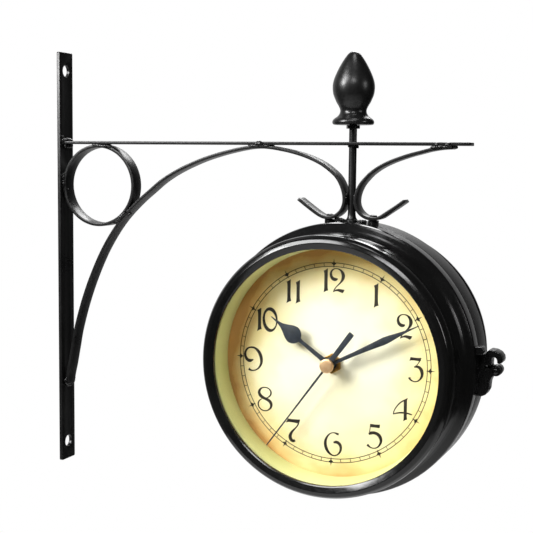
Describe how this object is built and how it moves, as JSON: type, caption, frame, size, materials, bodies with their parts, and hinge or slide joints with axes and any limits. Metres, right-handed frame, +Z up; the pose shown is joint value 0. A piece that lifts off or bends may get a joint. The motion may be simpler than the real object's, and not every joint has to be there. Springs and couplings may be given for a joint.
{
  "type": "double sided station clock",
  "caption": "Round double faced wall clock with a hinged case, hung from a flat strip scroll bracket with a ring, curled brace and urn finial.",
  "frame": {"origin": "on the back of the wall plate, on its middle line, level with the underside of the arm", "axes": "+X out from the wall along the arm, +Y away from the viewer of the front dial, +Z up"},
  "size_m": [0.3809, 0.123, 0.35],
  "materials": {
    "black_iron": "semi-gloss black paint over wrought steel strip",
    "black_fittings": "black painted hinge and latch",
    "steel_pin": "plain steel pin",
    "case_black": "semi-gloss black enamel on spun sheet",
    "bezel_black": "gloss black enamel on a rolled rim",
    "glass": "clear flat glass",
    "inner_wall": "matt yellow-green painted inner ring",
    "dial_paper": "cream dial with aged amber edge",
    "movement_plastic": "black moulded plastic",
    "brass": "polished brass",
    "hand_slate": "dark slate paint on stamped hands",
    "gear_white": "natural white acetal",
    "cell_wrap": "plain wrapped dry cell",
    "spring_steel": "nickel plated spring strip",
    "coil_copper": "enamelled copper winding on an iron stator"
  },
  "bodies": {
    "root": {"wall_plate": "black_iron", "arm_bar": "black_iron", "brace_scroll": "black_iron", "outer_scroll": "black_iron", "scroll_ring": "black_iron", "hanger_rod": "black_iron", "finial": "black_iron", "finial_nut": "black_iron", "foot_screw_left": "black_iron", "foot_screw_right": "black_iron", "foot_nut_left": "black_iron", "foot_nut_right": "black_iron", "hinge_leaf_fixed": "black_fittings", "hinge_pin": "steel_pin", "latch_base": "black_fittings", "latch_pin": "steel_pin", "rear_case_shell": "case_black", "rear_bezel_ring": "bezel_black", "rear_glass_lens": "glass", "rear_spacer_ring": "inner_wall", "rear_dial": "dial_paper", "rear_movement_housing": "movement_plastic", "rear_movement_cover": "movement_plastic", "rear_hex_nut": "brass", "rear_battery_cell": "cell_wrap", "rear_contact_spring": "spring_steel", "rear_coil_and_stator": "coil_copper"},
    "door": {"hinge_leaf_door": "black_fittings", "latch_keeper": "black_fittings", "front_case_shell": "case_black", "front_bezel_ring": "bezel_black", "front_glass_lens": "glass", "front_spacer_ring": "inner_wall", "front_dial": "dial_paper", "front_movement_housing": "movement_plastic", "front_movement_cover": "movement_plastic", "front_hex_nut": "brass", "front_battery_cell": "cell_wrap", "front_contact_spring": "spring_steel", "front_coil_and_stator": "coil_copper"},
    "latch": {"latch_hook": "black_fittings"},
    "front_minute": {"front_minute_hand": "hand_slate", "front_minute_wheel": "brass"},
    "front_hour": {"front_hour_hand": "hand_slate", "front_hour_wheel": "gear_white"},
    "front_second": {"front_second_hand": "hand_slate", "front_hand_cap": "brass", "front_second_wheel": "gear_white"},
    "front_motion": {"front_motion_wheel": "gear_white"},
    "front_knob": {"front_set_knob": "gear_white"},
    "rear_minute": {"rear_minute_hand": "hand_slate", "rear_minute_wheel": "brass"},
    "rear_hour": {"rear_hour_hand": "hand_slate", "rear_hour_wheel": "gear_white"},
    "rear_second": {"rear_second_hand": "hand_slate", "rear_hand_cap": "brass", "rear_second_wheel": "gear_white"},
    "rear_motion": {"rear_motion_wheel": "gear_white"},
    "rear_knob": {"rear_set_knob": "gear_white"}
  },
  "joints": [
    {"name": "case_hinge", "type": "hinge", "parent": "root", "child": "door", "pos_m": [0.149, -0.007, -0.16365], "axis": [0, 0, -1], "range_deg": [0, 110]},
    {"name": "latch_swing", "type": "hinge", "parent": "root", "child": "latch", "pos_m": [0.3752, 0, -0.165], "axis": [0, 1, 0], "range_deg": [0, 75]},
    {"name": "front_minute_turn", "type": "hinge", "parent": "door", "child": "front_minute", "pos_m": [0.258, -0.04, -0.16365], "axis": [0, 1, 0], "continuous": true},
    {"name": "front_hour_turn", "type": "hinge", "parent": "door", "child": "front_hour", "pos_m": [0.258, -0.04, -0.16365], "axis": [0, 1, 0], "continuous": true},
    {"name": "front_motion_turn", "type": "hinge", "parent": "door", "child": "front_motion", "pos_m": [0.264, -0.04, -0.15326], "axis": [0, 1, 0], "continuous": true},
    {"name": "front_knob_turn", "type": "hinge", "parent": "door", "child": "front_knob", "pos_m": [0.276, -0.04, -0.15326], "axis": [0, 1, 0], "continuous": true},
    {"name": "front_second_turn", "type": "hinge", "parent": "door", "child": "front_second", "pos_m": [0.258, -0.04, -0.16365], "axis": [0, 1, 0], "continuous": true},
    {"name": "rear_minute_turn", "type": "hinge", "parent": "root", "child": "rear_minute", "pos_m": [0.258, 0.04, -0.16365], "axis": [0, -1, 0], "continuous": true},
    {"name": "rear_hour_turn", "type": "hinge", "parent": "root", "child": "rear_hour", "pos_m": [0.258, 0.04, -0.16365], "axis": [0, -1, 0], "continuous": true},
    {"name": "rear_motion_turn", "type": "hinge", "parent": "root", "child": "rear_motion", "pos_m": [0.252, 0.04, -0.15326], "axis": [0, -1, 0], "continuous": true},
    {"name": "rear_knob_turn", "type": "hinge", "parent": "root", "child": "rear_knob", "pos_m": [0.24, 0.04, -0.15326], "axis": [0, -1, 0], "continuous": true},
    {"name": "rear_second_turn", "type": "hinge", "parent": "root", "child": "rear_second", "pos_m": [0.258, 0.04, -0.16365], "axis": [0, -1, 0], "continuous": true}
  ],
  "couplings": [
    {"joint": "front_hour_turn", "follows": "front_minute_turn", "ratio": 0.083333},
    {"joint": "front_motion_turn", "follows": "front_minute_turn", "ratio": -0.33333},
    {"joint": "front_knob_turn", "follows": "front_minute_turn", "ratio": 1},
    {"joint": "rear_hour_turn", "follows": "rear_minute_turn", "ratio": 0.083333},
    {"joint": "rear_motion_turn", "follows": "rear_minute_turn", "ratio": -0.33333},
    {"joint": "rear_knob_turn", "follows": "rear_minute_turn", "ratio": 1}
  ]
}
